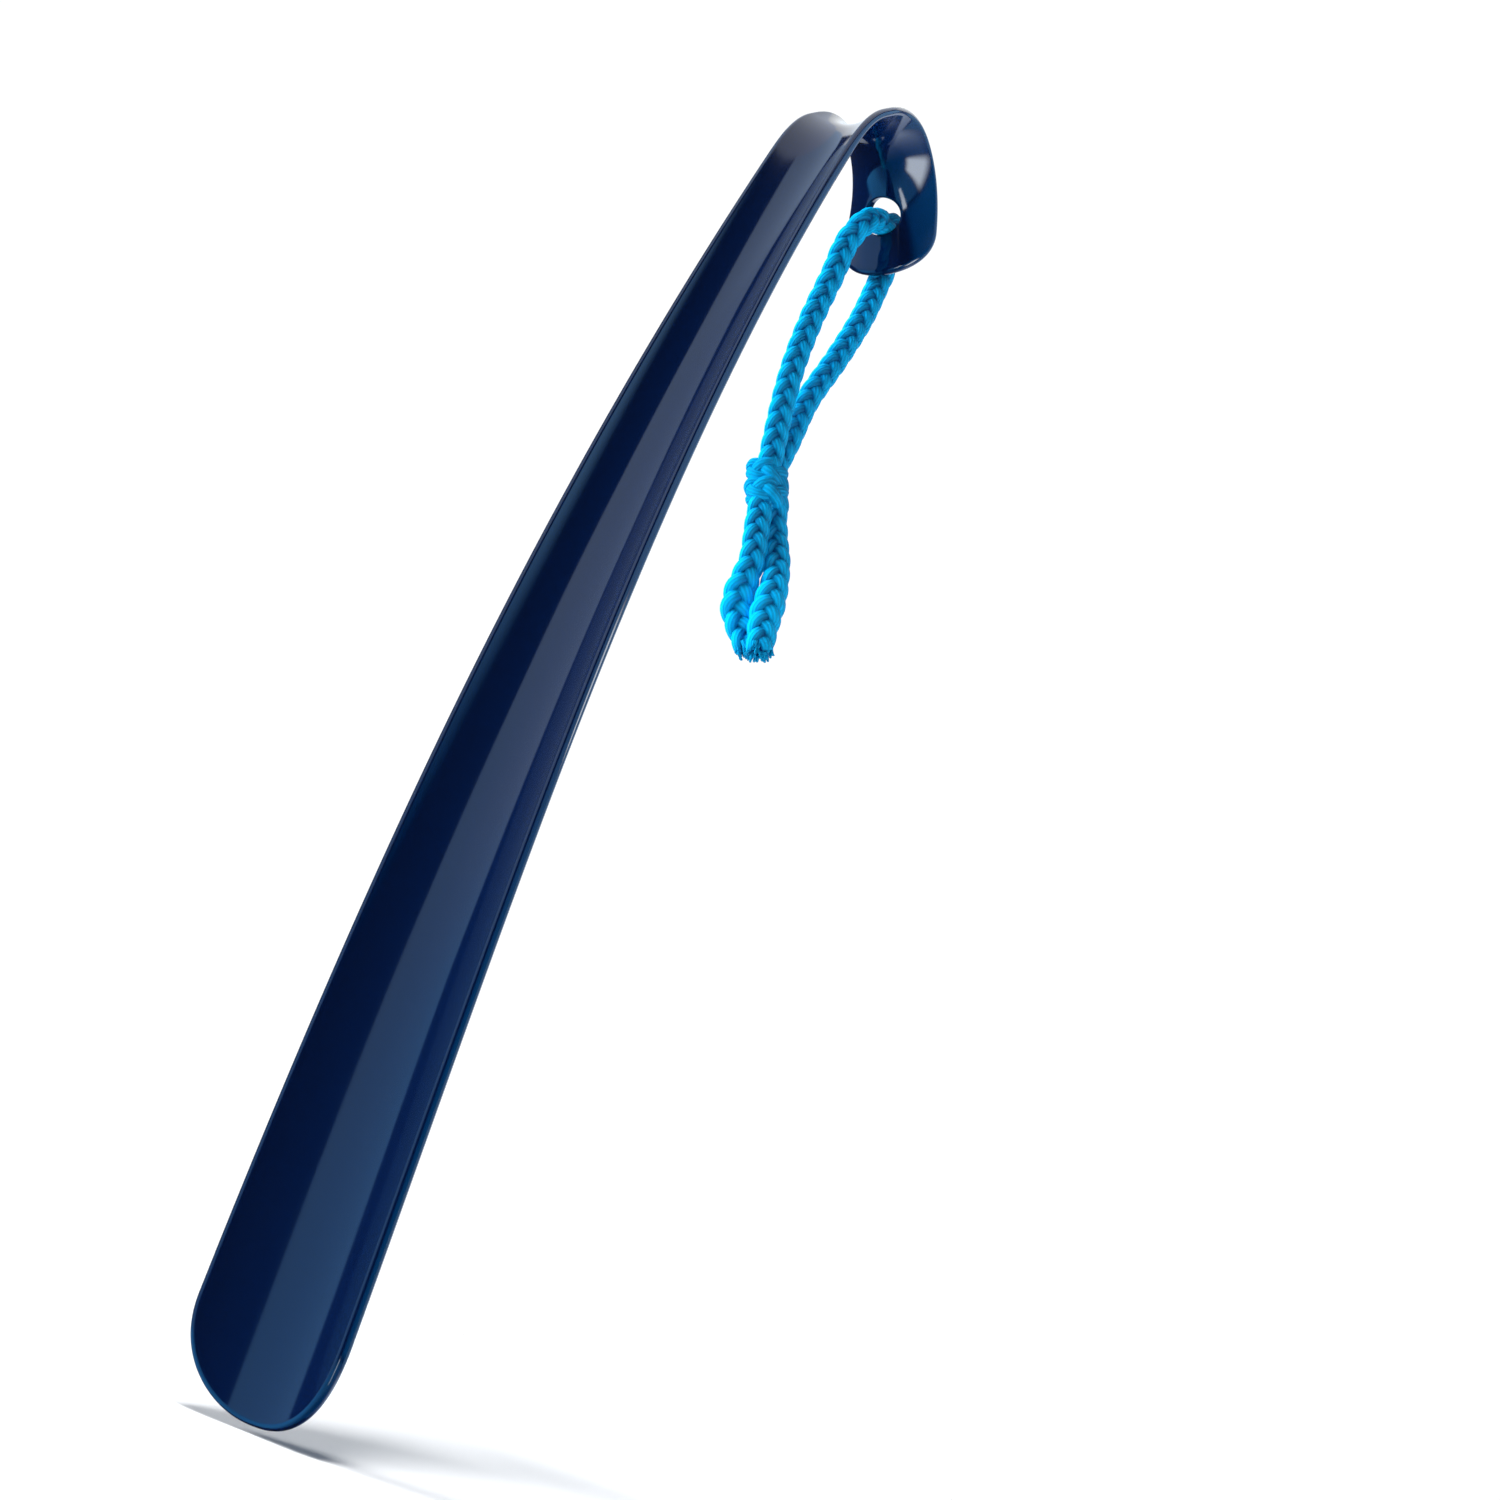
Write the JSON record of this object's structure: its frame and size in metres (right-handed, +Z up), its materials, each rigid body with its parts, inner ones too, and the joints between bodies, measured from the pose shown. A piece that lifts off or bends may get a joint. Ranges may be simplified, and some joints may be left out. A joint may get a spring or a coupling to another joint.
{
  "type": "long shoehorn",
  "caption": "Long moulded shoehorn with a wide rounded tip, a gutter-shaped blade, an open hook at the top and a knotted carrying cord through the end of the hook",
  "frame": {"origin": "inside of the hook's crown, on the centreline, where a rail touches it when the horn hangs", "axes": "+Z up along the blade from the tip to the hook, +X across the blade, -Y the hollow side of the blade, so the hook bends back towards +Y"},
  "size_m": [0.0398, 0.0883, 0.3511],
  "materials": {
    "horn": "polished moulding, very dark blue",
    "cord": "plaited, satin"
  },
  "bodies": {
    "horn": {"horn": "horn"},
    "cord": {"cord_front": "cord", "cord_rear": "cord", "cord_knot": "cord", "cord_tail_left": "cord", "cord_tail_right": "cord"}
  },
  "joints": [
    {"name": "loop_swing", "type": "hinge", "parent": "horn", "child": "cord", "pos_m": [0, 0.01621, -0.01001], "axis": [0, 0.8862, 0.4634], "range_deg": [-20, 20]}
  ]
}
